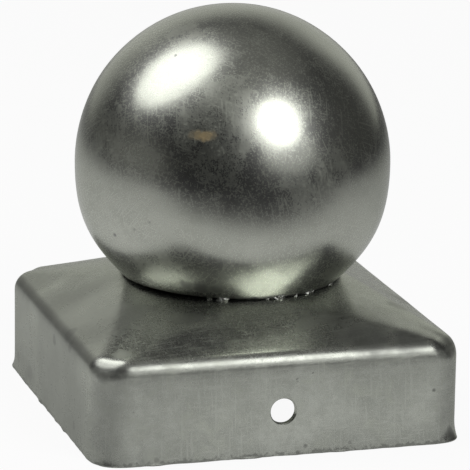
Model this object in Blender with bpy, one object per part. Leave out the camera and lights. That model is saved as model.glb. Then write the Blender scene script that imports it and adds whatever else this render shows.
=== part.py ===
# Ball post cap in galvanised sheet steel: a pressed square cap that slips over the
# end of a timber post, with a hollow pressed ball standing on its low roof.
# Metres, +Z up, origin on the ground at the middle of the cap's open underside.
import math

import bmesh
import bpy
from mathutils import Vector

# Post and sheet
POST_WIDTH = 0.0700
POST_PLAY = 0.0005
SHEET = 0.0012
INSIDE_CORNER = 0.0058

# Skirt, rim and the bend into the roof
SHOULDER_LEVEL = 0.0208
BEND_AT_SIDE = 0.00325
BEND_AT_CORNER = 0.0045
RIM_FLARE_AT_CORNER = 0.0007
RIM_FLARE_AT_SIDE = 0.0001
RIM_FLARE_HEIGHT = 0.0028

# Screw holes, one through the front wall and one through the back wall
HOLE_RADIUS = 0.0025
HOLE_LEVEL = 0.0089

# Roof and ball
ROOF_RISE = 0.00605
BALL_RADIUS = 0.0310
BALL_FULLNESS = 0.00047
BALL_FOOT_CUT = 0.00892
BALL_FOOT_OVERHANG = 0.0005
BALL_GAP = 0.0003

# How finely the round stretches are divided
CORNER_STEPS = 8
SIDE_STEPS = 6
FLARE_STEPS = 2
BEND_STEPS = 5
ROOF_STEPS = 3
BALL_SIDES = 64
BALL_ROWS = 28
HOLE_SIDES = 24
SHARP_ANGLE = math.radians(35)

# Sizes that follow from the ones above
OUTER_HALF = POST_WIDTH / 2 + POST_PLAY + SHEET
OUTSIDE_CORNER = INSIDE_CORNER + SHEET
CORNER_CENTRE = OUTER_HALF - OUTSIDE_CORNER
BALL_FOOT_RADIUS = math.sqrt(2 * BALL_RADIUS * BALL_FOOT_CUT - BALL_FOOT_CUT ** 2)
SEAT_RADIUS = BALL_FOOT_RADIUS - BALL_FOOT_OVERHANG
SEAT_LEVEL = SHOULDER_LEVEL + ROOF_RISE
BALL_FOOT_LEVEL = SEAT_LEVEL + BALL_GAP
BALL_LEVEL = BALL_FOOT_LEVEL + BALL_RADIUS - BALL_FOOT_CUT


def clear_scene():
    for item in list(bpy.data.objects):
        bpy.data.objects.remove(item)


def metal(name, colour, roughness):
    material = bpy.data.materials.new(name)
    material.use_nodes = True
    shader = material.node_tree.nodes["Principled BSDF"]
    shader.inputs["Base Color"].default_value = (*colour, 1.0)
    shader.inputs["Metallic"].default_value = 1.0
    shader.inputs["Roughness"].default_value = roughness
    material.diffuse_color = (*colour, 1.0)
    return material


def finish_object(name, shape, material):
    bmesh.ops.recalc_face_normals(shape, faces=shape.faces)
    mesh = bpy.data.meshes.new(name)
    shape.to_mesh(mesh)
    shape.free()
    mesh.materials.append(material)
    mesh.shade_smooth()
    mesh.set_sharp_from_angle(angle=SHARP_ANGLE)
    item = bpy.data.objects.new(name, mesh)
    bpy.context.scene.collection.objects.link(item)
    return item


class Station:
    # One place around the plan: the corner arc's centre there, the way that the wall
    # faces, and the roof bend's radius and turn at that place.
    def __init__(self, centre, facing, bend, flare):
        self.centre = centre
        self.out = Vector((math.cos(facing), math.sin(facing), 0.0))
        self.bend = bend
        self.flare = flare
        self.turn = self.bend_turn(bend)
        # One value for a whole side, whose stations all end at one point of the seat
        self.seat_tilt = math.pi / 2 - self.bend_turn(BEND_AT_CORNER)

    def bend_turn(self, bend):
        # The roof's straight line touches the bend and passes through the seat's edge
        reach = self.centre.dot(self.out) + OUTSIDE_CORNER - bend - SEAT_RADIUS
        rise = ROOF_RISE + bend
        return math.atan2(reach, rise) + math.asin(bend / math.hypot(reach, rise))

    def wall_point(self, level, flare, depth):
        point = self.centre + self.out * (OUTSIDE_CORNER + flare - depth)
        point.z = level
        return point

    def bend_point(self, share, depth):
        angle = self.turn * share
        radius = self.bend - depth
        point = self.centre + self.out * (OUTSIDE_CORNER - self.bend + radius * math.cos(angle))
        point.z = SHOULDER_LEVEL - self.bend + radius * math.sin(angle)
        return point

    def seat_point(self, depth):
        # The crease keeps the sheet's thickness on both of its sides
        point = self.out * (SEAT_RADIUS - depth * math.tan(self.seat_tilt / 2))
        point.z = SEAT_LEVEL - depth
        return point


def stations():
    # Anticlockwise around the plan: a corner arc, then the straight side after it.
    # The bend is tightest in the middle of a side and opens towards the corners.
    around = []
    signs = ((1, 1), (-1, 1), (-1, -1), (1, -1))
    for quarter in range(4):
        start = quarter * math.pi / 2
        here = Vector((*signs[quarter], 0)) * CORNER_CENTRE
        after = Vector((*signs[(quarter + 1) % 4], 0)) * CORNER_CENTRE
        for step in range(CORNER_STEPS + 1):
            along = step / CORNER_STEPS
            facing = start + along * math.pi / 2
            swell = math.sin(along * math.pi) ** 2
            flare = RIM_FLARE_AT_SIDE + (RIM_FLARE_AT_CORNER - RIM_FLARE_AT_SIDE) * swell
            around.append(Station(here, facing, BEND_AT_CORNER, flare))
        for step in range(1, SIDE_STEPS):
            along = step / SIDE_STEPS
            nearness = (2 * along - 1) ** 2
            bend = BEND_AT_SIDE + (BEND_AT_CORNER - BEND_AT_SIDE) * nearness
            centre = here.lerp(after, along)
            around.append(Station(centre, start + math.pi / 2, bend, RIM_FLARE_AT_SIDE))
    return around


def skin_rows(around, depth):
    # Rows of points from the rim up to the seat, on the outside for a depth of zero
    # and on the inside for a depth of one sheet.
    rows = []
    for step in range(FLARE_STEPS + 1):
        share = step / FLARE_STEPS
        level = RIM_FLARE_HEIGHT * share
        spread = (1 - share) ** 2
        rows.append([place.wall_point(level, place.flare * spread, depth) for place in around])
    for step in range(BEND_STEPS + 1):
        rows.append([place.bend_point(step / BEND_STEPS, depth) for place in around])
    for step in range(1, ROOF_STEPS + 1):
        share = step / ROOF_STEPS
        rows.append([place.bend_point(1, depth).lerp(place.seat_point(depth), share) for place in around])
    return rows


def add_skin(shape, rows):
    made = [[shape.verts.new(point) for point in row] for row in rows]
    count = len(rows[0])
    for lower, upper in zip(made, made[1:]):
        for index in range(count):
            after = (index + 1) % count
            shape.faces.new((lower[index], lower[after], upper[after], upper[index]))
    return made


def build_cap(material):
    around = stations()
    shape = bmesh.new()
    outer = add_skin(shape, skin_rows(around, 0.0))
    inner = add_skin(shape, skin_rows(around, SHEET))
    count = len(around)
    for index in range(count):
        after = (index + 1) % count
        shape.faces.new((outer[0][index], outer[0][after], inner[0][after], inner[0][index]))
    for skin, level in ((outer, SEAT_LEVEL), (inner, SEAT_LEVEL - SHEET)):
        middle = shape.verts.new((0.0, 0.0, level))
        for index in range(count):
            shape.faces.new((skin[-1][index], skin[-1][(index + 1) % count], middle))
    # Each straight side runs up to one point of the seat, so its stations meet there
    bmesh.ops.remove_doubles(shape, verts=shape.verts, dist=1e-6)
    return finish_object("cap", shape, material)


def cut_screw_holes(cap):
    shape = bmesh.new()
    bmesh.ops.create_cone(
        shape,
        cap_ends=True,
        segments=HOLE_SIDES,
        radius1=HOLE_RADIUS,
        radius2=HOLE_RADIUS,
        depth=4 * OUTER_HALF,
    )
    mesh = bpy.data.meshes.new("screw_hole_cutter")
    shape.to_mesh(mesh)
    shape.free()
    cutter = bpy.data.objects.new("screw_hole_cutter", mesh)
    bpy.context.scene.collection.objects.link(cutter)
    cutter.location = (0.0, 0.0, HOLE_LEVEL)
    cutter.rotation_euler = (math.pi / 2, 0.0, 0.0)
    cutter.hide_render = True
    cutter.display_type = "WIRE"
    holes = cap.modifiers.new("screw holes", "BOOLEAN")
    holes.operation = "DIFFERENCE"
    holes.solver = "EXACT"
    holes.object = cutter


def ball_profile():
    # A true sphere above its equator. Below it the wall stands out by the fullness,
    # most of all halfway down to the foot, where it meets the sphere again.
    foot_angle = math.acos((BALL_FOOT_CUT - BALL_RADIUS) / BALL_RADIUS)
    points = []
    for row in range(1, BALL_ROWS + 1):
        angle = foot_angle * row / BALL_ROWS
        below = max(0.0, (angle - math.pi / 2) / (foot_angle - math.pi / 2))
        radius = BALL_RADIUS + BALL_FULLNESS * math.sin(math.pi * below) ** 2
        points.append((radius * math.sin(angle), radius * math.cos(angle)))
    return points


def build_ball(material):
    shape = bmesh.new()
    top = shape.verts.new((0.0, 0.0, BALL_RADIUS))
    rows = []
    for radius, level in ball_profile():
        row = []
        for side in range(BALL_SIDES):
            angle = 2 * math.pi * side / BALL_SIDES
            row.append(shape.verts.new((radius * math.cos(angle), radius * math.sin(angle), level)))
        rows.append(row)
    for side in range(BALL_SIDES):
        after = (side + 1) % BALL_SIDES
        shape.faces.new((top, rows[0][side], rows[0][after]))
        for upper, lower in zip(rows, rows[1:]):
            shape.faces.new((upper[side], lower[side], lower[after], upper[after]))
    shape.faces.new(rows[-1])
    ball = finish_object("ball", shape, material)
    ball.location = (0.0, 0.0, BALL_LEVEL)
    return ball


def main():
    clear_scene()
    cap = build_cap(metal("galvanised sheet", (0.43, 0.44, 0.43), 0.38))
    cut_screw_holes(cap)
    build_ball(metal("galvanised ball", (0.46, 0.47, 0.46), 0.30))


main()
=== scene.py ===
import math
import random

import bmesh
import bpy
from mathutils import Matrix, Vector, noise


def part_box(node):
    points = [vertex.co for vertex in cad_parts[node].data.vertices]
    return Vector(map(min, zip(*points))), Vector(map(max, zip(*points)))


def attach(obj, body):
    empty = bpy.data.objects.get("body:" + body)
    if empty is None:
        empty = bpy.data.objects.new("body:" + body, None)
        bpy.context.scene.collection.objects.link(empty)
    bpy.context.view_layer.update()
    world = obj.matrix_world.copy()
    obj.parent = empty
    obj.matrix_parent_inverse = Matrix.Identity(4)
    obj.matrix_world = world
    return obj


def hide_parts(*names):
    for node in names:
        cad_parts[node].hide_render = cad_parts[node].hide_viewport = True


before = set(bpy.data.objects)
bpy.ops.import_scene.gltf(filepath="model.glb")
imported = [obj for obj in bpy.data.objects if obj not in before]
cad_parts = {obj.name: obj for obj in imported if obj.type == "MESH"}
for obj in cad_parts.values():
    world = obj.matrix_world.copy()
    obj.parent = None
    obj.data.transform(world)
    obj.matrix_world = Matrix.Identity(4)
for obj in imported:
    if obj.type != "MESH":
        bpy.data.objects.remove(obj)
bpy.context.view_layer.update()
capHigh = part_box("cap")[1]
ballLow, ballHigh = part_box("ball")
print("frame loaded:", sorted(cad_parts))


# camera, set where the photo was taken from

cameraView = {
    "azimuth": -16.75,      # degrees, 0 looks along +Y
    "elevation": 14.64,     # degrees above the floor
    "roll": -0.99,          # degrees
    "distance": 0.7160,     # metres from the cap's middle at floor level
    "aside": 0.00133,       # how far the middle lies left of the view's centre line
    "below": 0.03306,       # how far it lies below that line
    "lens": 274.2,          # millimetres
    "sensor": 36,           # millimetres
    "clip": (0.01, 50),     # metres
}


def addCamera(view):
    azimuth, elevation, roll = (math.radians(view[key]) for key in ("azimuth", "elevation", "roll"))
    back = Vector((
        math.sin(azimuth) * math.cos(elevation),
        -math.cos(azimuth) * math.cos(elevation),
        math.sin(elevation),
    ))
    right = Vector((0, 0, 1)).cross(back).normalized()
    up = back.cross(right)
    rolledRight = right * math.cos(roll) - up * math.sin(roll)
    rolledUp = right * math.sin(roll) + up * math.cos(roll)
    place = rolledRight * view["aside"] + rolledUp * view["below"] + back * view["distance"]
    turn = Matrix((rolledRight, rolledUp, back)).transposed().to_4x4()
    data = bpy.data.cameras.new("camera")
    data.lens = view["lens"]
    data.sensor_width = view["sensor"]
    data.clip_start, data.clip_end = view["clip"]
    camera = bpy.data.objects.new("camera", data)
    camera.matrix_world = Matrix.Translation(place) @ turn
    bpy.context.scene.collection.objects.link(camera)
    bpy.context.scene.camera = camera


addCamera(cameraView)
print("camera placed")


# shared by the pieces

sharpAngle = math.radians(40)   # edges that turn more than this are shaded sharp


def linkMesh(name, mesh):
    data = bpy.data.meshes.new(name)
    mesh.to_mesh(data)
    mesh.free()
    data.shade_smooth()
    data.set_sharp_from_angle(angle=sharpAngle)
    piece = bpy.data.objects.new(name, data)
    bpy.context.scene.collection.objects.link(piece)
    return piece


def outward(facing):
    return Vector((math.cos(facing), math.sin(facing), 0))


def atLevel(level):
    return Vector((0, 0, level))


# the pressed sheet cap

capShape = {
    "sheet": 0.0012,
    "cornerRadius": 0.0070,      # outside, in plan
    "shoulderLevel": 0.0208,     # where the bend would end if it turned a quarter
    # the bend's outer radius on the right, back, left and front side
    "sideBends": (0.0042, 0.0037, 0.0035, 0.0034),
    # and its radius and the rim's flare in the back right, back left, front left and front right corner
    "cornerBends": (0.0046, 0.0050, 0.0043, 0.0053),
    "cornerFlares": (0.0007, 0.0011, 0.00045, 0.00095),
    "flareAtSide": 0.0001,
    "flareHeight": 0.0036,
    "flareCrowding": 1.6,        # brings the flare's rows closer together at the rim
    "rimRound": 0.00022,         # the sheared edge, worn round
    "footOverhang": 0.0005,      # how far the ball's foot stands over the seat's edge
    "cornerSteps": 20,
    "sideSteps": 44,
    "rimSteps": 3,
    "flareSteps": 7,
    "wallSteps": 9,
    "bendSteps": 12,
    "roofSteps": 18,
    "wave": 0.00007,             # slow waviness of the pressed sheet
    "waveLength": 0.019,
    "waveStart": 0.0065,         # how far from the seat it is in full
    "ripple": 0.000022,          # smaller unevenness on top of that
    "rippleLength": 0.0055,
    "seed": 1,                   # of the waves, the ripple and the burr
    "burr": 0.00008,             # unevenness of the sheared rim
    "burrLength": 0.0022,
    "burrReach": 0.0016,
    "burrSeed": (7, 3, 5),
    "curl": 0.00028,             # outward curl of the rim where the shears left one
    "curlLength": 0.0045,
    "curlReach": 0.0008,
    "curlStart": 0.02,           # noise level where a curl starts, and how fast it grows above it
    "curlGrowth": 5,
    "curlSeed": (2, 9, 4),
    "curlEnds": 0.0310,          # how far from the middle of a side a curl can be
    "mergeWithin": 0.000001,     # the rows of a straight side meet at one point of the seat
}

capHalf = capHigh.x - capShape["flareAtSide"]
seatLevel = capHigh.z
ballRadius = (ballHigh.x - ballLow.x) / 2
ballLevel = ballHigh.z - ballRadius
footDrop = ballLevel - ballLow.z
footRadius = math.sqrt(ballRadius ** 2 - footDrop ** 2)
seatRadius = footRadius - capShape["footOverhang"]


def capStations(shape):
    # once round the plan: a corner arc, then the straight side after it
    around = []
    signs = ((1, 1), (-1, 1), (-1, -1), (1, -1))
    middle = capHalf - shape["cornerRadius"]
    for quarter in range(4):
        start = quarter * math.pi / 2
        here = Vector((*signs[quarter], 0)) * middle
        after = Vector((*signs[(quarter + 1) % 4], 0)) * middle
        bendHere = shape["sideBends"][quarter]
        bendAfter = shape["sideBends"][(quarter + 1) % 4]
        opening = shape["cornerBends"][quarter] - (bendHere + bendAfter) / 2
        for step in range(shape["cornerSteps"]):
            along = step / shape["cornerSteps"]
            swell = math.sin(along * math.pi) ** 2
            bend = bendHere + (bendAfter - bendHere) * along + opening * swell
            flare = shape["flareAtSide"] * (1 - swell) + shape["cornerFlares"][quarter] * swell
            around.append((here, start + along * math.pi / 2, bend, flare))
        for step in range(shape["sideSteps"]):
            place = here.lerp(after, step / shape["sideSteps"])
            around.append((place, start + math.pi / 2, bendAfter, shape["flareAtSide"]))
    return around


def bendTurn(shape, centre, out, bend):
    # how far the bend turns before the roof leaves it straight for the seat's edge
    reach = centre.dot(out) + shape["cornerRadius"] - bend - seatRadius
    rise = seatLevel - shape["shoulderLevel"] + bend
    return math.atan2(reach, rise) + math.asin(bend / math.hypot(reach, rise))


def stationProfile(shape, station, depth):
    # points up one place of the plan, for the outer face or, with a depth, the inner
    centre, facing, bend, flare = station
    out = outward(facing)
    turn = bendTurn(shape, centre, out, bend)
    bendStart = shape["shoulderLevel"] - bend
    edge = shape["cornerRadius"] - depth
    points = []
    for step in range(shape["flareSteps"] + 1):
        share = (step / shape["flareSteps"]) ** shape["flareCrowding"]
        spreading = flare * (1 - share) ** 2
        level = shape["rimRound"] + (shape["flareHeight"] - shape["rimRound"]) * share
        points.append(centre + out * (edge + spreading) + atLevel(level))
    for step in range(1, shape["wallSteps"]):
        level = shape["flareHeight"] + (bendStart - shape["flareHeight"]) * step / shape["wallSteps"]
        points.append(centre + out * edge + atLevel(level))
    radius = bend - depth
    for step in range(shape["bendSteps"] + 1):
        angle = turn * step / shape["bendSteps"]
        reach = shape["cornerRadius"] - bend + radius * math.cos(angle)
        points.append(centre + out * reach + atLevel(bendStart + radius * math.sin(angle)))
    seatTilt = math.pi / 2 - turn
    seatEdge = out * (seatRadius - depth * math.tan(seatTilt / 2)) + atLevel(seatLevel - depth)
    roofStart = points[-1]
    for step in range(1, shape["roofSteps"] + 1):
        points.append(roofStart.lerp(seatEdge, step / shape["roofSteps"]))
    return points


def rimProfile(shape, station):
    # the sheared rim from the outer face round to the inner face
    centre, facing, _, flare = station
    radius = shape["rimRound"]
    outerEdge = shape["cornerRadius"] + flare
    innerEdge = outerEdge - shape["sheet"]
    flatWidth = shape["sheet"] - 2 * radius
    steps = range(shape["rimSteps"])
    turns = [math.pi / 2 * (step + 1) / (len(steps) + 1) for step in steps]
    places = []
    for turn in turns:
        places.append((outerEdge - radius + radius * math.cos(turn), radius - radius * math.sin(turn)))
    for step in steps:
        places.append((outerEdge - radius - flatWidth * step / (len(steps) - 1), 0.0))
    for turn in turns:
        places.append((innerEdge + radius - radius * math.sin(turn), radius - radius * math.cos(turn)))
    return [centre + outward(facing) * reach + atLevel(level) for reach, level in places]


def curlAt(shape, point):
    # 1 where the shears have curled the edge outward in full, 0 where it is straight
    flatPoint = Vector((point.x, point.y, 0))
    level = noise.noise(flatPoint / shape["curlLength"] + Vector(shape["curlSeed"]))
    nearRim = max(0.0, 1 - point.z / shape["curlReach"]) ** 2
    curled = min(1.0, max(0.0, level - shape["curlStart"]) * shape["curlGrowth"])
    toCorner = shape["curlEnds"] - min(abs(point.x), abs(point.y))
    return nearRim * curled * min(1.0, max(0.0, toCorner / shape["curlLength"]))


def unevenSheet(shape, point):
    # slow waves in the sheet, dying out at the seat, and a ragged rim
    wave = noise.noise_vector(point / shape["waveLength"]) * shape["wave"]
    wave += noise.noise_vector(point / shape["rippleLength"]) * shape["ripple"]
    fromSeat = max(0.0, math.hypot(point.x, point.y) - seatRadius)
    moved = point + wave * min(1.0, fromSeat / shape["waveStart"])
    nearRim = max(0.0, 1 - point.z / shape["burrReach"])
    burr = noise.noise_vector(point / shape["burrLength"] + Vector(shape["burrSeed"]))
    moved += burr * shape["burr"] * nearRim
    out = Vector((point.x, 0, 0)) if abs(point.x) > abs(point.y) else Vector((0, point.y, 0))
    moved += out.normalized() * curlAt(shape, point) * shape["curl"]
    moved.z = max(moved.z, 0.0)
    return moved


def buildCap(shape):
    noise.seed_set(shape["seed"])
    around = capStations(shape)
    loops = []
    for station in around:
        outer = stationProfile(shape, station, 0.0)
        inner = stationProfile(shape, station, shape["sheet"])
        loops.append(list(reversed(outer)) + rimProfile(shape, station) + inner)
    mesh = bmesh.new()
    rows = [[mesh.verts.new(unevenSheet(shape, point)) for point in loop] for loop in loops]
    count = len(rows)
    for index in range(count):
        here, after = rows[index], rows[(index + 1) % count]
        for low in range(len(here) - 1):
            mesh.faces.new((here[low], here[low + 1], after[low + 1], after[low]))
    for end, level in ((0, seatLevel), (-1, seatLevel - shape["sheet"])):
        middle = mesh.verts.new(atLevel(level))
        for index in range(count):
            mesh.faces.new((rows[index][end], rows[(index + 1) % count][end], middle))
    bmesh.ops.remove_doubles(mesh, verts=mesh.verts, dist=shape["mergeWithin"])
    bmesh.ops.recalc_face_normals(mesh, faces=mesh.faces)
    return linkMesh("pressedCap", mesh)


screwHole = {
    "radius": 0.0025,
    "level": 0.0089,
    "rounding": 0.00018,                      # how far the punch has drawn the edge in
    "roundingDepths": (0.000054, 0.000234),   # and between which depths in the wall
    "cutterReach": 1.5,                       # how far the cutter reaches, in half widths of the cap
    "sides": 48,
}


def cutScrewHoles(cap, hole):
    # one turned cutter through both walls, wider where it passes each outer face
    wide = hole["radius"] + hole["rounding"]
    wideUntil, narrowFrom = hole["roundingDepths"]
    outerStops = (
        (capHalf * hole["cutterReach"], wide),
        (capHalf - wideUntil, wide),
        (capHalf - narrowFrom, hole["radius"]),
    )
    stops = [(-along, radius) for along, radius in outerStops] + list(reversed(outerStops))
    mesh = bmesh.new()
    rings = []
    for along, radius in stops:
        ring = []
        for side in range(hole["sides"]):
            angle = 2 * math.pi * side / hole["sides"]
            place = (radius * math.cos(angle), along, hole["level"] + radius * math.sin(angle))
            ring.append(mesh.verts.new(place))
        rings.append(ring)
    for near, far in zip(rings, rings[1:]):
        for side in range(hole["sides"]):
            after = (side + 1) % hole["sides"]
            mesh.faces.new((near[side], near[after], far[after], far[side]))
    mesh.faces.new(rings[0])
    mesh.faces.new(rings[-1])
    bmesh.ops.recalc_face_normals(mesh, faces=mesh.faces)
    cutter = linkMesh("screwHoleCutter", mesh)
    cut = cap.modifiers.new("screw holes", "BOOLEAN")
    cut.operation = "DIFFERENCE"
    cut.solver = "EXACT"
    cut.object = cutter
    settled = bpy.data.meshes.new_from_object(cap.evaluated_get(bpy.context.evaluated_depsgraph_get()))
    cap.modifiers.clear()
    cap.data = settled
    settled.shade_smooth()
    settled.set_sharp_from_angle(angle=sharpAngle)
    bpy.data.objects.remove(cutter)


pressedCap = buildCap(capShape)
cutScrewHoles(pressedCap, screwHole)
print("cap pressed:", len(pressedCap.data.polygons), "faces")


# the hollow pressed ball

ballShape = {
    "fullness": 0.00047,     # how far the lower half stands outside a true sphere
    "sides": 200,
    "rows": 120,
    "gapClosed": 0.00008,    # joint between foot and roof where the ball sits close
    "gapOpen": 0.00060,      # and where it stands off a little
    "gapFacing": -146,       # degrees, the middle of the open stretch
    "gapSpread": 48,         # degrees to either side
    "gapBluntness": 0.6,     # below 1 it opens quickly and stays wide
    "dent": 0.00005,         # soft unevenness left by the press
    "dentLength": 0.012,
    "dentSeed": (3, 8, 1),
}


def footGap(shape, facing):
    away = (math.degrees(facing) - shape["gapFacing"] + 180) % 360 - 180
    share = min(1.0, abs(away) / shape["gapSpread"])
    opening = math.cos(share * math.pi / 2) ** shape["gapBluntness"]
    return shape["gapClosed"] + (shape["gapOpen"] - shape["gapClosed"]) * opening


def ballPoint(shape, share, facing):
    # a point of the wall, with the share 0 at the top of the ball and 1 at its foot
    footAngle = math.acos(-(ballLevel - seatLevel - footGap(shape, facing)) / ballRadius)
    angle = footAngle * share
    below = max(0.0, (angle - math.pi / 2) / (footAngle - math.pi / 2))
    radius = ballRadius + shape["fullness"] * math.sin(math.pi * below) ** 2
    out = outward(facing) * math.sin(angle) + atLevel(math.cos(angle))
    dent = noise.noise(out * ballRadius / shape["dentLength"] + Vector(shape["dentSeed"])) * shape["dent"]
    return out * (radius + dent) + atLevel(ballLevel)


def buildBall(shape):
    mesh = bmesh.new()
    top = mesh.verts.new(atLevel(ballLevel + ballRadius))
    facings = [2 * math.pi * side / shape["sides"] for side in range(shape["sides"])]
    rows = []
    for row in range(1, shape["rows"] + 1):
        rows.append([mesh.verts.new(ballPoint(shape, row / shape["rows"], facing)) for facing in facings])
    underside = mesh.verts.new(atLevel(seatLevel + shape["gapOpen"]))
    for side in range(shape["sides"]):
        after = (side + 1) % shape["sides"]
        mesh.faces.new((top, rows[0][side], rows[0][after]))
        for upper, lower in zip(rows, rows[1:]):
            mesh.faces.new((upper[side], lower[side], lower[after], upper[after]))
        mesh.faces.new((rows[-1][side], underside, rows[-1][after]))
    bmesh.ops.recalc_face_normals(mesh, faces=mesh.faces)
    return linkMesh("pressedBall", mesh)


pressedBall = buildBall(ballShape)
print("ball pressed:", len(pressedBall.data.polygons), "faces")


# tacks of weld and zinc at the joint between ball and roof

tackShape = {
    # degrees round the seat
    "places": (
        -118, -116.5, -110.5, -87, -84.5, -80.5, -71, -62, -59.5,
        -41.5, 12, 44, 47, 76, 118, 152, -198,
    ),
    "size": (0.00026, 0.00062),   # smallest and largest radius
    "stretch": (0.7, 2.2),        # along the seat's edge, in radii
    "height": (0.6, 1.4),         # the same upwards
    "lumps": 0.45,                # how uneven they are
    "lumpsAcross": 1.9,
    "outside": 0.35,              # how far past the seat's edge they sit, in radii
    "above": 0.25,                # and how far above it
    "fineness": 4,
    "seed": 4,
}


def buildTacks(shape):
    draw = random.Random(shape["seed"])
    mesh = bmesh.new()
    for degrees in shape["places"]:
        out = outward(math.radians(degrees))
        along = Vector((-out.y, out.x, 0))
        size = draw.uniform(*shape["size"])
        stretch = draw.uniform(*shape["stretch"])
        height = draw.uniform(*shape["height"])
        middle = out * (seatRadius + shape["outside"] * size) + atLevel(seatLevel + shape["above"] * size)
        blob = bmesh.ops.create_icosphere(mesh, subdivisions=shape["fineness"], radius=1)["verts"]
        for vert in blob:
            lump = noise.noise(vert.co * shape["lumpsAcross"] + Vector((degrees, 0, 0)))
            local = vert.co * (1 + shape["lumps"] * lump) * size
            vert.co = middle + along * local.x * stretch + out * local.y + atLevel(local.z * height)
    bmesh.ops.recalc_face_normals(mesh, faces=mesh.faces)
    return linkMesh("weldTacks", mesh)


weldTacks = buildTacks(tackShape)
print("tacks set:", len(tackShape["places"]))


# finishes

def startMaterial(name):
    material = bpy.data.materials.new(name)
    material.use_nodes = True
    tree = material.node_tree
    shader = tree.nodes["Principled BSDF"]
    return material, tree, shader


def placeInMetal(tree, offset=(0, 0, 0), turn=(0, 0, 0), scale=(1, 1, 1)):
    coords = tree.nodes.new("ShaderNodeTexCoord")
    mapping = tree.nodes.new("ShaderNodeMapping")
    mapping.vector_type = "TEXTURE"
    mapping.inputs["Location"].default_value = offset
    mapping.inputs["Rotation"].default_value = [math.radians(angle) for angle in turn]
    mapping.inputs["Scale"].default_value = scale
    tree.links.new(coords.outputs["Object"], mapping.inputs["Vector"])
    return mapping.outputs["Vector"]


def cloud(tree, place, size, detail=3.0, rough=0.55, distortion=0.0):
    # soft random patches about size metres across
    made = tree.nodes.new("ShaderNodeTexNoise")
    made.inputs["Scale"].default_value = 1 / size
    made.inputs["Detail"].default_value = detail
    made.inputs["Roughness"].default_value = rough
    made.inputs["Distortion"].default_value = distortion
    tree.links.new(place, made.inputs["Vector"])
    return made.outputs["Fac"]


def spread(tree, source, fromLow, fromHigh, toLow, toHigh):
    made = tree.nodes.new("ShaderNodeMapRange")
    made.interpolation_type = "SMOOTHSTEP"
    values = {"From Min": fromLow, "From Max": fromHigh, "To Min": toLow, "To Max": toHigh}
    for name, value in values.items():
        made.inputs[name].default_value = value
    tree.links.new(source, made.inputs["Value"])
    return made.outputs["Result"]


def showing(tree, source, start, full, strength):
    # 0 up to where the source starts to show, its strength where it shows in full
    return spread(tree, source, start, full, 0.0, strength)


def combine(tree, kind, first, second):
    made = tree.nodes.new("ShaderNodeMath")
    made.operation = kind
    for socket, value in zip(made.inputs, (first, second)):
        if isinstance(value, (int, float)):
            socket.default_value = value
        else:
            tree.links.new(value, socket)
    return made.outputs["Value"]


def times(tree, first, second):
    return combine(tree, "MULTIPLY", first, second)


def absolute(tree, value):
    return combine(tree, "ABSOLUTE", value, 0.0)


def highest(tree, first, *others):
    for other in others:
        first = combine(tree, "MAXIMUM", first, other)
    return first


def band(tree, source, start, full, fading, end):
    # rises from 0 to 1 between the first two values and falls again between the others
    rise = spread(tree, source, start, full, 0.0, 1.0)
    return times(tree, rise, spread(tree, source, fading, end, 1.0, 0.0))


def shifted(tree, distance, cloudy, middle, amount):
    # a distance made uneven by a cloud, which leaves it as it is where it has its middle value
    return combine(tree, "ADD", distance, times(tree, combine(tree, "SUBTRACT", cloudy, middle), amount))


def tint(tree, amount, first, second):
    # colour first where amount is 0, second where it is 1; sockets 6, 7 and 2 are those for colours
    made = tree.nodes.new("ShaderNodeMix")
    made.data_type = "RGBA"
    tree.links.new(amount, made.inputs["Factor"])
    for socket, value in ((made.inputs[6], first), (made.inputs[7], second)):
        if isinstance(value, tuple):
            socket.default_value = (*value, 1)
        else:
            tree.links.new(value, socket)
    return made.outputs[2]


def overlay(tree, source, shows, colour, over):
    # the second colour over the first where the source shows
    return tint(tree, showing(tree, source, *shows), colour, over)


streakNoise = (1.0, 1.0, 0.5, 0.35)   # size in lengths and widths of a streak, detail, roughness, wobble
spotNoise = (0.9, 2.0, 0.5)           # size in sizes of the spot, detail, roughness
spotEdge = (0.5, 1.3)                 # a spot fades between these shares of its size
grainRange = (0.40, 0.60)             # noise levels between which fine grain and scuffs come up
scuffRange = (0.34, 0.70)


def streaks(tree, turn, offset, length, width, start, end):
    # long thin marks that run one way, only where the noise is high
    stretched = placeInMetal(tree, offset, turn, (length, width, width))
    return showing(tree, cloud(tree, stretched, *streakNoise), start, end, 1.0)


def addStreaks(tree, sets):
    return highest(tree, *(streaks(tree, *numbers) for numbers in sets))


def spot(tree, centre, size):
    # 1 inside a ball of that size round a point, 0 outside, with a soft uneven edge
    here = placeInMetal(tree)
    away = tree.nodes.new("ShaderNodeVectorMath")
    away.operation = "DISTANCE"
    away.inputs[1].default_value = centre
    tree.links.new(here, away.inputs[0])
    across, detail, rough = spotNoise
    uneven = cloud(tree, here, size * across, detail, rough)
    reach = shifted(tree, away.outputs["Value"], uneven, 0.5, size)
    return spread(tree, reach, size * spotEdge[0], size * spotEdge[1], 1.0, 0.0)


def addSpots(tree, spots):
    # every spot is x, y, z and size in millimetres, and how strong it is
    made = []
    for x, y, z, size, strength in spots:
        made.append(times(tree, spot(tree, (x / 1000, y / 1000, z / 1000), size / 1000), strength))
    return highest(tree, *made)


def split(tree, place):
    made = tree.nodes.new("ShaderNodeSeparateXYZ")
    tree.links.new(place, made.inputs["Vector"])
    return made.outputs["X"], made.outputs["Y"], made.outputs["Z"]


def fromAxis(tree, x, y):
    return combine(tree, "SQRT", combine(tree, "ADD", times(tree, x, x), times(tree, y, y)), 0.0)


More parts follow.
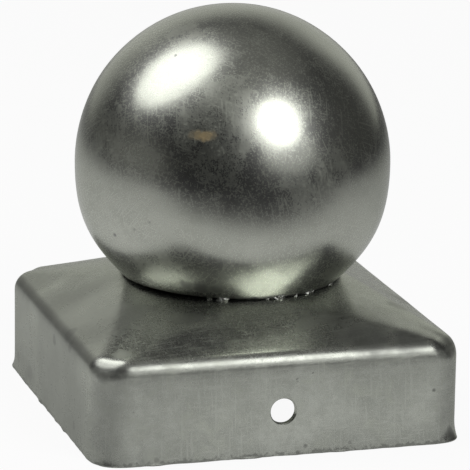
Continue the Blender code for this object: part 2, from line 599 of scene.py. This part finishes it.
def setRoughness(tree, shader, finish, grain, scuff, lines, dulled):
    # the gloss of clean zinc, and what each kind of wear adds to its roughness
    gloss = finish["gloss"]
    rough = spread(tree, grain, *grainRange, gloss, gloss + finish["grainDulls"])
    rough = combine(tree, "ADD", rough, showing(tree, scuff, *scuffRange, finish["scuffDulls"]))
    rough = combine(tree, "ADD", rough, times(tree, lines, finish["scratchDulls"]))
    tree.links.new(combine(tree, "ADD", rough, dulled), shader.inputs["Roughness"])


def addHaze(shader, finish):
    # a second, wider reflection over the first
    shader.inputs["Coat Weight"].default_value = 1.0
    shader.inputs["Coat Roughness"].default_value = finish["haze"][0]
    shader.inputs["Coat IOR"].default_value = finish["haze"][1]
    shader.inputs["Specular Tint"].default_value = (*finish["edgeTint"], 1)


def addBump(tree, shader, height, depth):
    bump = tree.nodes.new("ShaderNodeBump")
    bump.inputs["Strength"].default_value = 1.0
    bump.inputs["Distance"].default_value = depth
    tree.links.new(height, bump.inputs["Height"])
    tree.links.new(bump.outputs["Normal"], shader.inputs["Normal"])


ballFinish = {
    "grey": (0.363, 0.380, 0.318),
    "dark": (0.304, 0.321, 0.264),
    "pale": (0.460, 0.482, 0.408),
    "grimeAndShade": (0.055, 0.056, 0.050),
    "tan": (0.56, 0.40, 0.17),
    "gloss": 0.168,           # roughness where the zinc is cleanest
    "grainDulls": 0.020,      # what fine grain, scuffs, scratches, rubbing, dirt, and the painted shade and reflection add to it
    "scuffDulls": 0.085,
    "scratchDulls": 0.115,
    "rubDulls": 0.20,
    "dirtAndShadeDulls": 0.30,
    "haze": (0.345, 2.35),    # roughness and refraction of the thin oxide over the zinc
    "edgeTint": (0.58, 0.60, 0.54),
    # size in metres, detail, roughness and wobble of each cloud
    "blotches": (0.0090, 4.0, 0.6),
    "scuffs": (0.0034, 3.0, 0.5, 0.2),
    "grain": (0.00022, 1.0, 0.5),
    "footShadeEdge": (0.0012, 3.0),
    "scuffsMoved": (0.2, 0.5, 0.1),   # so that the scuffs don't follow the blotches
    # levels where a cloud starts and is full, and its strength there
    "blotchesShow": (0.35, 0.65, 1.0),
    "scuffsShow": (0.38, 0.72, 0.5),
    "scratchesShow": 0.8,
    "rubSheenShows": 0.5,
    "tanCovers": 0.55,        # the share of bare metal that the painted tan reflection hides
    "peel": 0.000010,         # depth of the uneven zinc
    "scratchDepth": 0.08,     # as shares of that depth
    "pitDepth": 4.0,
    "scratches": (
        # turn, offset, length, width, noise level where a scratch starts and is full
        ((10, 20, 35), (0.1, 0.2, 0.3), 0.0085, 0.00036, 0.60, 0.72),
        ((70, 15, -40), (0.5, 0.1, 0.7), 0.0070, 0.00032, 0.60, 0.72),
        ((30, -60, 80), (0.9, 0.4, 0.2), 0.0100, 0.00038, 0.60, 0.72),
        ((-20, 45, 120), (0.3, 0.8, 0.6), 0.0065, 0.00032, 0.60, 0.72),
        ((5, 80, 10), (0.8, 0.3, 0.9), 0.0120, 0.00036, 0.63, 0.74),
        ((-50, -25, -75), (0.2, 0.7, 0.4), 0.0080, 0.00036, 0.60, 0.72),
        ((40, 65, -15), (0.6, 0.5, 0.1), 0.0055, 0.00032, 0.63, 0.74),
    ),
    "pits": (
        # x, y, z and size in millimetres, strength
        (-15.2, -11.9, 73.5, 0.30, 0.75),
        (-27.0, -12.3, 38.9, 0.42, 0.80),
        (-24.6, -17.7, 41.2, 0.30, 0.45),
        (-22.5, -20.9, 43.3, 0.28, 0.45),
        (12.0, 22.0, 67.5, 0.35, 0.75),
        (27.5, 9.0, 38.5, 0.32, 0.70),
    ),
    "rubbedAndSheen": (
        # places rubbed dull and tinted pale, partly a painted sheen of the highlights' haze, same order of
        # numbers
        (-9.2, -23.5, 67.3, 5.5, 0.55),
        (-8.4, -26.2, 63.6, 4.5, 0.40),
        (-27.9, -10.5, 57.5, 6.0, 0.58),
        (12.0, -28.3, 53.0, 5.5, 0.45),
        (4.8, -30.6, 48.8, 4.5, 0.45),
        (-10.3, -26.4, 61.8, 5.5, 0.55),
        (-15.5, -24.2, 62.2, 4.2, 0.75),
        (-10.4, -28.1, 57.4, 5.0, 0.50),
        (-12.8, -8.1, 76.3, 4.0, 0.40),
        (-19.6, -21.5, 37.5, 5.5, 0.40),
        (-21.1, -16.2, 32.6, 4.0, 0.50),
        (15.1, -22.4, 33.3, 4.5, 0.45),
        (-23.9, -19.1, 54.1, 5.0, 0.35),
        (6.0, 28.0, 60.0, 7.0, 0.45),
        (27.0, 14.0, 52.0, 6.0, 0.50),
        (-22.0, 20.0, 42.0, 6.0, 0.50),
    ),
    "rubLines": (
        # same order of numbers as the scratches
        ((15, 30, 60), (0.4, 0.6, 0.2), 0.0060, 0.00030, 0.34, 0.60),
        ((-40, 70, -20), (0.1, 0.9, 0.5), 0.0050, 0.00028, 0.34, 0.60),
        ((60, -35, 100), (0.7, 0.2, 0.8), 0.0070, 0.00030, 0.36, 0.62),
    ),
    "paintedTanReflection": (
        # a painted reflection of something tan, same order of numbers as the pits, and so are the foot's
        # spots of painted shade
        (-15.2, -24.4, 60.8, 1.0, 0.38),
        (-14.3, -24.9, 60.8, 1.1, 0.62),
        (-13.5, -25.4, 60.7, 1.1, 0.76),
        (-12.6, -25.8, 60.8, 1.1, 0.70),
        (-11.9, -26.1, 60.9, 1.0, 0.45),
    ),
    # painted shade on the ball's foot, just above its joint with the roof
    "footShadeSpots": (
        (-20.1, -13.2, 29.6, 1.2, 0.40),
        (-14.8, -19.5, 30.2, 1.5, 0.55),
        (-12.2, -20.9, 29.8, 1.8, 0.70),
        (-9.4, -22.1, 29.6, 1.5, 0.55),
        (14.0, 19.0, 29.8, 1.8, 0.50),
    ),
    "footShadeReach": 0.0011,     # how far up the ball's foot the painted shade at the joint reaches
    "footShadeFrom": -0.0005,     # the level above the seat where it is full
    "footShadeUneven": (0.0, -0.0012),   # cloud level that leaves its edge level, and how far it moves it
}


def zincOnBall(finish):
    material, tree, shader = startMaterial("galvanisedBall")
    here = placeInMetal(tree)
    level = split(tree, here)[2]
    lines = addStreaks(tree, finish["scratches"])
    blotch = cloud(tree, here, *finish["blotches"])
    scuff = cloud(tree, placeInMetal(tree, finish["scuffsMoved"]), *finish["scuffs"])
    grain = cloud(tree, here, *finish["grain"])
    pits = addSpots(tree, finish["pits"])
    tan = addSpots(tree, finish["paintedTanReflection"])
    rubbedAndSheen = times(tree, addSpots(tree, finish["rubbedAndSheen"]), addStreaks(tree, finish["rubLines"]))
    # painted shade round the ball's foot, where it meets the roof
    footShadeLevel = shifted(tree, level, cloud(tree, here, *finish["footShadeEdge"]), *finish["footShadeUneven"])
    footShadeFrom = seatLevel + finish["footShadeFrom"]
    foot = spread(tree, footShadeLevel, footShadeFrom, footShadeFrom + finish["footShadeReach"], 1.0, 0.0)
    dirtAndShade = highest(tree, pits, foot, addSpots(tree, finish["footShadeSpots"]))
    colour = overlay(tree, blotch, finish["blotchesShow"], finish["dark"], finish["grey"])
    colour = overlay(tree, scuff, finish["scuffsShow"], colour, finish["pale"])
    colour = tint(tree, times(tree, lines, finish["scratchesShow"]), colour, finish["pale"])
    # rubbed places tinted pale: wear, and partly a painted sheen
    colour = tint(tree, times(tree, rubbedAndSheen, finish["rubSheenShows"]), colour, finish["pale"])
    # painted reflection of something tan
    colour = tint(tree, tan, colour, finish["tan"])
    # dark pits, and painted shade at the ball's foot
    colour = tint(tree, dirtAndShade, colour, finish["grimeAndShade"])
    tree.links.new(colour, shader.inputs["Base Color"])
    bareMetal = combine(tree, "SUBTRACT", 1.0, times(tree, tan, finish["tanCovers"]))
    tree.links.new(bareMetal, shader.inputs["Metallic"])
    dulled = times(tree, highest(tree, dirtAndShade, tan), finish["dirtAndShadeDulls"])
    dulled = highest(tree, dulled, times(tree, rubbedAndSheen, finish["rubDulls"]))
    setRoughness(tree, shader, finish, grain, scuff, lines, dulled)
    addHaze(shader, finish)
    height = combine(tree, "SUBTRACT", scuff, times(tree, lines, finish["scratchDepth"]))
    height = combine(tree, "SUBTRACT", height, times(tree, pits, finish["pitDepth"]))
    addBump(tree, shader, height, finish["peel"])
    return material


capFinish = {
    "grey": (0.512, 0.533, 0.474),
    "dark": (0.350, 0.366, 0.320),
    "pale": (0.630, 0.655, 0.583),
    "green": (0.465, 0.490, 0.415),
    "grimeAndShade": (0.060, 0.062, 0.055),
    "gloss": 0.185,            # roughness where the zinc is cleanest
    "grainDulls": 0.02,        # what each kind of wear, the painted shade and the painted highlight add to it
    "scuffDulls": 0.08,
    "scratchDulls": 0.09,
    "bendDulls": 0.070,        # the bend, stretched by the press
    "underBendDulls": 0.13,    # and the top of the walls below it
    "smudgeAndHighlightDulls": 0.16,
    "dirtAndShadeDulls": 0.25,
    "haze": (0.46, 1.70),
    "edgeTint": (0.55, 0.57, 0.51),
    # size in metres, detail, roughness and wobble of each cloud
    "blotches": (0.011, 4.0, 0.6),
    "clouds": (0.0048, 3.0, 0.6, 0.8),
    "grain": (0.00024, 1.0, 0.5),
    "specks": (0.0010, 2.0, 0.5),
    "mottle": (0.0026, 4.0, 0.72),
    "cloudsMoved": (0.3, 0.1, 0.7),   # so that they don't follow the blotches or each other
    "mottleMoved": (0.6, 0.2, 0.4),
    # levels where a cloud starts and is full, and its strength there
    "blotchesShow": (0.3, 0.7, 1.0),
    "mottleShows": (0.40, 0.62, 0.52),
    "cloudsShow": (0.5, 0.72, 0.7),
    "grainShows": (0.45, 0.75, 0.4),
    "flecksShow": (0.73, 0.80, 0.5),
    "scratchesShow": 0.4,
    "smudgesAndHighlightShow": 0.8,
    "peel": 0.000010,
    "scratchDepth": 0.08,
    "scratches": (
        # turn, offset, length, width, noise level where a scratch starts and is full
        ((0, 0, 6), (0.2, 0.6, 0.1), 0.0130, 0.00036, 0.56, 0.70),
        ((0, 88, 0), (0.7, 0.3, 0.4), 0.0090, 0.00040, 0.57, 0.70),
        ((0, 10, 95), (0.4, 0.9, 0.8), 0.0120, 0.00036, 0.57, 0.70),
    ),
    "stainsAndShade": (
        # x, y, z and size in millimetres, strength
        (-24, -17, 24, 4.0, 0.32),
        (-15, -26, 23, 6.0, 0.16),
        # painted shade: these three darken the front-left corner and the left wall
        (-34, -37, 8, 15.0, 0.16),
        (-37, -8, 9, 26.0, 0.33),
        (-37, 24, 10, 16.0, 0.30),
        (37, -34, 8, 7.0, 0.12),
        (-35.4, -34.4, 17.4, 1.7, 0.40),
        # painted shade: these three darken the right part of the roof's front
        (11, -30, 23, 6.0, 0.28),
        (18, -33, 21.3, 4.8, 0.50),
        (25.5, -34.4, 20.8, 3.4, 0.55),
        (-35.6, -12, 19.6, 2.4, 0.52),
        (-36.7, -3.6, 16, 1.4, 0.62),
        (-36.7, -15.7, 18.2, 1.6, 0.52),
        (-36.7, -19.4, 3.5, 1.1, 0.60),
        (-36.7, -18.3, 8.2, 0.6, 0.45),
        (-36.7, 17.0, 3.4, 2.6, 0.50),
        (-36.7, 27.1, 3.8, 1.6, 0.50),
        (30.2, -36.7, 11, 0.36, 0.60),
        (13.4, -36.7, 1.7, 0.40, 0.35),
        (4.5, -36.7, 1.7, 0.40, 0.50),
        (-25, -36.7, 1.2, 0.60, 0.35),
        (-27.8, -36.7, 1.0, 0.70, 0.30),
        (-34.0, -36.7, 2.2, 0.9, 0.30),
        (29, -19, 23.5, 2.6, 0.35),
        (33, -8, 21.5, 3.2, 0.45),
        (34.6, -35.4, 1.4, 1.6, 0.60),
        (-36.6, 20, 2.0, 1.8, 0.40),
        (22, 30, 22.5, 3.5, 0.35),
        (-12, 36.7, 4.0, 3.2, 0.22),
    ),
    "smudgesAndHighlight": (
        # places rubbed pale and dull, same order of numbers; the first, beside the front-left corner, is a
        # painted highlight
        (-31.0, -32.2, 21.6, 1.9, 0.85),
        (-27.5, -26.5, 22.3, 2.4, 0.16),
        (-28.5, -6.0, 22.2, 9.0, 0.38),
        (28.0, 24.0, 22.6, 2.6, 0.50),
    ),
    "bendDark": 0.54,          # how much darker the bend is
    "bendClouds": (0.30, 0.70, 0.90, 1.0),   # cloud levels, and the share of that which they leave
    "edgePaintedShade": 0.22,          # and painted shade on the front of the roof just above it
    "cornerDark": 0.38,        # and the drawn corners
    # heights where each of these places begins, is full, begins to fade and ends
    "bendZone": (0.0181, 0.0188, 0.0196, 0.0204),
    "edgeZone": (0.0201, 0.0206, 0.0212, 0.0225),
    "underBendZone": (0.0162, 0.0176, 0.0183, 0.0190),
    "edgeFront": (-0.0325, -0.0300),         # y between which the edge's painted shade fades
    "cornerFrom": (0.0290, 0.0345),          # distance from both middle planes
    "cornerTop": (0.014, 0.020, 0.3),        # height where it begins and ends to fade, and what is left
    "cornerFoot": (0.0, 0.0045, 0.2),        # the same at the rim, upside down
    "rimReach": 0.0006,        # how high the dirt on the sheared rim reaches
    "rimUneven": (0.4, -0.003),   # cloud level that leaves its edge level, and how far it moves it
    "rimDirt": 0.50,
    "seatShadeReach": 0.0007,       # how far the painted shade spreads round the ball's foot
    "seatShadeUneven": (0.5, 0.0015),
    "seatShadeDepth": (0.001, 0.0004),   # it begins and is full this far below the seat
}


def dirtAndShadeOnSheet(tree, finish, x, y, z, speck):
    # dirt on the sheared rim and in flecks, stains, and painted shade round the ball's foot and, among the
    # stains, on the left wall and the front roof's right part
    ragged = shifted(tree, z, speck, *finish["rimUneven"])
    rim = times(tree, spread(tree, ragged, 0.0, finish["rimReach"], 1.0, 0.0), finish["rimDirt"])
    # painted shade on the roof round the ball's foot
    outside = shifted(tree, fromAxis(tree, x, y), speck, *finish["seatShadeUneven"])
    seat = spread(tree, outside, seatRadius, seatRadius + finish["seatShadeReach"], 1.0, 0.0)
    begins, full = finish["seatShadeDepth"]
    seat = times(tree, seat, spread(tree, z, seatLevel - begins, seatLevel - full, 0.0, 1.0))
    fleck = showing(tree, speck, *finish["flecksShow"])
    return highest(tree, rim, seat, fleck, addSpots(tree, finish["stainsAndShade"]))


def darkerPlacesAndPaintedShade(tree, finish, x, y, z, onBend):
    # darker down the drawn corners and along the bend, and painted shade on the front of the roof just
    # above it
    nearCorner = combine(tree, "MINIMUM", absolute(tree, x), absolute(tree, y))
    corner = showing(tree, nearCorner, *finish["cornerFrom"], 1.0)
    fadeFrom, fadeTo, left = finish["cornerTop"]
    corner = times(tree, corner, spread(tree, z, fadeFrom, fadeTo, 1.0, left))
    footFrom, footTo, left = finish["cornerFoot"]
    corner = times(tree, corner, spread(tree, z, footFrom, footTo, left, 1.0))
    edge = times(tree, band(tree, z, *finish["edgeZone"]), spread(tree, y, *finish["edgeFront"], 1.0, 0.0))
    return highest(
        tree,
        times(tree, corner, finish["cornerDark"]),
        times(tree, onBend, finish["bendDark"]),
        times(tree, edge, finish["edgePaintedShade"]),
    )


def zincOnSheet(finish):
    material, tree, shader = startMaterial("galvanisedSheet")
    here = placeInMetal(tree)
    x, y, z = split(tree, here)
    lines = addStreaks(tree, finish["scratches"])
    blotch = cloud(tree, here, *finish["blotches"])
    cloudy = cloud(tree, placeInMetal(tree, finish["cloudsMoved"]), *finish["clouds"])
    grain = cloud(tree, here, *finish["grain"])
    speck = cloud(tree, here, *finish["specks"])
    mottle = cloud(tree, placeInMetal(tree, finish["mottleMoved"]), *finish["mottle"])
    dirtAndShade = dirtAndShadeOnSheet(tree, finish, x, y, z, speck)
    smudgeAndHighlight = addSpots(tree, finish["smudgesAndHighlight"])
    onBend = times(tree, band(tree, z, *finish["bendZone"]), spread(tree, cloudy, *finish["bendClouds"]))
    underBend = band(tree, z, *finish["underBendZone"])
    colour = overlay(tree, blotch, finish["blotchesShow"], finish["dark"], finish["grey"])
    colour = overlay(tree, mottle, finish["mottleShows"], colour, finish["dark"])
    colour = overlay(tree, cloudy, finish["cloudsShow"], colour, finish["green"])
    colour = overlay(tree, grain, finish["grainShows"], colour, finish["pale"])
    colour = tint(tree, times(tree, lines, finish["scratchesShow"]), colour, finish["pale"])
    # darker corners and bend, and painted shade on the roof's front edge
    colour = tint(tree, darkerPlacesAndPaintedShade(tree, finish, x, y, z, onBend), colour, finish["grimeAndShade"])
    # dirt and stains, and painted shade round the ball's foot, on the left wall and on the front roof
    colour = tint(tree, dirtAndShade, colour, finish["grimeAndShade"])
    # pale smudges, the one by the front-left corner a painted highlight
    colour = tint(tree, times(tree, smudgeAndHighlight, finish["smudgesAndHighlightShow"]), colour, finish["pale"])
    tree.links.new(colour, shader.inputs["Base Color"])
    shader.inputs["Metallic"].default_value = 1.0
    dulled = times(tree, dirtAndShade, finish["dirtAndShadeDulls"])
    dulled = highest(tree, dulled, times(tree, smudgeAndHighlight, finish["smudgeAndHighlightDulls"]))
    dulled = combine(tree, "ADD", dulled, times(tree, onBend, finish["bendDulls"]))
    dulled = combine(tree, "ADD", dulled, times(tree, underBend, finish["underBendDulls"]))
    setRoughness(tree, shader, finish, grain, cloudy, lines, dulled)
    addHaze(shader, finish)
    height = combine(tree, "SUBTRACT", cloudy, times(tree, lines, finish["scratchDepth"]))
    addBump(tree, shader, height, finish["peel"])
    return material


tackFinish = {
    "grey": (0.34, 0.35, 0.32),
    "pale": (0.52, 0.53, 0.50),
    "soot": (0.09, 0.09, 0.08),
    "roughness": (0.32, 0.47),            # in the hollows and on the lumps
    "lumps": (0.0004, 3.0, 0.6),          # size, detail and roughness of each cloud
    "sooty": (0.0009, 3.0, 0.6),
    "sootMoved": (0.4, 0.2, 0.6),
    "lumpsRange": (0.3, 0.7),
    "lumpsShow": (0.35, 0.65, 1.0),       # levels where it starts and is full, and its strength
    "sootShows": (0.52, 0.64, 0.9),
    "lumpDepth": 0.00006,
}


def zincOnTacks(finish):
    material, tree, shader = startMaterial("galvanisedTacks")
    lump = cloud(tree, placeInMetal(tree), *finish["lumps"])
    soot = cloud(tree, placeInMetal(tree, finish["sootMoved"]), *finish["sooty"])
    colour = overlay(tree, lump, finish["lumpsShow"], finish["grey"], finish["pale"])
    colour = overlay(tree, soot, finish["sootShows"], colour, finish["soot"])
    rough = spread(tree, lump, *finish["lumpsRange"], *finish["roughness"])
    tree.links.new(colour, shader.inputs["Base Color"])
    tree.links.new(rough, shader.inputs["Roughness"])
    shader.inputs["Metallic"].default_value = 1.0
    addBump(tree, shader, lump, finish["lumpDepth"])
    return material


ballZinc = zincOnBall(ballFinish)
tackZinc = zincOnTacks(tackFinish)
sheetZinc = zincOnSheet(capFinish)
for piece, material, node, slot in (
    (pressedCap, sheetZinc, "cap", "galvanised_sheet"),
    (pressedBall, ballZinc, "ball", "galvanised_ball"),
    (weldTacks, tackZinc, None, "galvanised_ball"),
):
    piece.data.materials.clear()
    piece.data.materials.append(material)
    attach(piece, "root")
    if node:
        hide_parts(node)
print("finishes laid on")


# floor and studio

studio = {
    "floorSize": 6.0,
    "floorSeen": 0.93,              # how bright the floor is to the camera
    "floorShade": 0.06,             # how much of that the lights add, so that shadows show
    "sheetGlow": 0.66,              # the white sheet on the floor, as the metal reflects it
    "sheetLeft": -0.385,            # its edges, in metres
    "sheetRight": 0.255,
    "sheetFront": -0.120,
    "sheetBack": (0.10, 0.60),      # where it begins and ends to darken behind the object
    "sheetFar": 0.35,               # the share of its glow that is left there
    "sheetSoft": 0.05,              # how gently it ends at the front
    "sideSoft": (0.365, 0.325),     # and on the left and on the right
    "capShade": (0.037, 0.060),     # between these distances from the middle the cap shades it
    "capShadeLeft": 0.79,           # the share left there
    "roomTint": (1.0, 1.0, 0.96),
    "roomDark": 0.010,              # the unlit room in front of and beside the object
    "roomOverhead": 0.17,
    "overheadFrom": (0.6, 0.95),    # sine of the elevations between which that comes up
    "roomRight": 0.05,              # dim walls far off on the right and the left
    "rightFrom": (0.5, 0.9),        # and where they come up, as shares of the way to that side
    "roomLeft": 0.22,
    "leftFrom": (-0.98, -0.85),
    "leftTop": (0.1, 0.45),         # sine of the elevations between which the left wall ends
    "screenGlow": 0.66,             # the pale screen behind the object
    "screenTop": (0.33, 0.80),      # sine of the elevations between which it fades
    "screenRight": (0.74, 0.94),    # cosine of the bearings between which it fades
    "screenLeft": (-0.76, -0.02),
    "screenFront": (0.0, 0.2),      # sine of the same
    "boxes": (
        # name, towards (x, y, z), distance, width, height, turn in degrees, glow
        ("softBoxLeft", (-0.520, 0.205, 0.840), 0.9, 0.85, 0.71, -81, 2.6),
        ("softBoxFront", (0.318, -0.728, 0.607), 0.9, 0.52, 0.54, 0, 4.5),
        ("lowFill", (0.44, -0.86, 0.25), 1.0, 0.74, 0.46, 0, 0.56),
    ),
}


def sheetAround(tree, look):
    # the white sheet's glow: soft at its edges, weaker far back and beside the cap
    across, deep = split(tree, placeInMetal(tree))[:2]
    left, right, front = look["sheetLeft"], look["sheetRight"], look["sheetFront"]
    softLeft, softRight = look["sideSoft"]
    softFront = look["sheetSoft"]
    fromLeft = spread(tree, across, left - softLeft, left + softLeft, 0.0, 1.0)
    fromRight = spread(tree, across, right - softRight, right + softRight, 1.0, 0.0)
    fromFront = spread(tree, deep, front - softFront, front + softFront, 0.0, 1.0)
    toBack = spread(tree, deep, *look["sheetBack"], 1.0, look["sheetFar"])
    away = highest(tree, absolute(tree, across), absolute(tree, deep))
    fromCap = spread(tree, away, *look["capShade"], look["capShadeLeft"], 1.0)
    sheet = look["sheetGlow"]
    for share in (fromLeft, fromRight, fromFront, toBack, fromCap):
        sheet = times(tree, share, sheet)
    return highest(tree, sheet, look["roomDark"])


def layFloor(look):
    # one brightness for the camera, another for the metal that reflects it
    mesh = bmesh.new()
    bmesh.ops.create_grid(mesh, x_segments=8, y_segments=8, size=look["floorSize"] / 2)
    floor = linkMesh("floor", mesh)
    material, tree, shader = startMaterial("paleFloor")
    reflected = tree.nodes.new("ShaderNodeEmission")
    tree.links.new(sheetAround(tree, look), reflected.inputs["Strength"])
    shader.inputs["Base Color"].default_value = (*(look["floorShade"],) * 3, 1)
    shader.inputs["Roughness"].default_value = 1.0
    shader.inputs["Specular IOR Level"].default_value = 0.0
    shader.inputs["Emission Color"].default_value = (1, 1, 1, 1)
    shader.inputs["Emission Strength"].default_value = look["floorSeen"]
    path = tree.nodes.new("ShaderNodeLightPath")
    choose = tree.nodes.new("ShaderNodeMixShader")
    tree.links.new(path.outputs["Is Camera Ray"], choose.inputs["Fac"])
    tree.links.new(reflected.outputs["Emission"], choose.inputs[1])
    tree.links.new(shader.outputs["BSDF"], choose.inputs[2])
    tree.links.new(choose.outputs["Shader"], tree.nodes["Material Output"].inputs["Surface"])
    floor.data.materials.append(material)


def lightRoom(look):
    # the room round the object, by direction: a screen behind, dim walls and a dim ceiling
    world = bpy.data.worlds.new("studio")
    bpy.context.scene.world = world
    world.use_nodes = True
    tree = world.node_tree
    coords = tree.nodes.new("ShaderNodeTexCoord")
    x, y, z = split(tree, coords.outputs["Generated"])
    flatReach = highest(tree, fromAxis(tree, x, y), 0.001)   # never 0, straight up too
    bearing = combine(tree, "DIVIDE", x, flatReach)
    screen = showing(tree, combine(tree, "DIVIDE", y, flatReach), *look["screenFront"], look["screenGlow"])
    screen = times(tree, screen, spread(tree, bearing, *look["screenRight"], 1.0, 0.0))
    screen = times(tree, screen, spread(tree, bearing, *look["screenLeft"], 0.0, 1.0))
    screen = times(tree, screen, spread(tree, z, *look["screenTop"], 1.0, 0.0))
    overhead = spread(tree, z, *look["overheadFrom"], look["roomDark"], look["roomOverhead"])
    onRight = showing(tree, x, *look["rightFrom"], look["roomRight"])
    onLeft = spread(tree, x, *look["leftFrom"], look["roomLeft"], 0.0)
    onLeft = times(tree, onLeft, spread(tree, z, *look["leftTop"], 1.0, 0.0))
    lit = highest(tree, screen, overhead, onRight, onLeft)
    path = tree.nodes.new("ShaderNodeLightPath")
    seen = times(tree, path.outputs["Is Camera Ray"], look["floorSeen"])
    background = tree.nodes["Background"]
    background.inputs["Color"].default_value = (*look["roomTint"], 1)
    tree.links.new(highest(tree, lit, seen), background.inputs["Strength"])


def hangSoftBoxes(look):
    target = atLevel(ballLevel)
    for name, towards, distance, width, height, turn, glow in look["boxes"]:
        data = bpy.data.lights.new(name, "AREA")
        data.shape = "ELLIPSE"
        data.size = width
        data.size_y = height
        area = math.pi * width * height / 4
        data.energy = glow * math.pi * area   # watts that make it glow so bright
        light = bpy.data.objects.new(name, data)
        direction = Vector(towards).normalized()
        aim = direction.to_track_quat("Z", "Y").to_matrix().to_4x4()
        spin = Matrix.Rotation(math.radians(turn), 4, "Z")
        light.matrix_world = Matrix.Translation(target + direction * distance) @ aim @ spin
        bpy.context.scene.collection.objects.link(light)


layFloor(studio)
lightRoom(studio)
hangSoftBoxes(studio)
bpy.context.scene.view_settings.view_transform = "Standard"
print("studio lit")
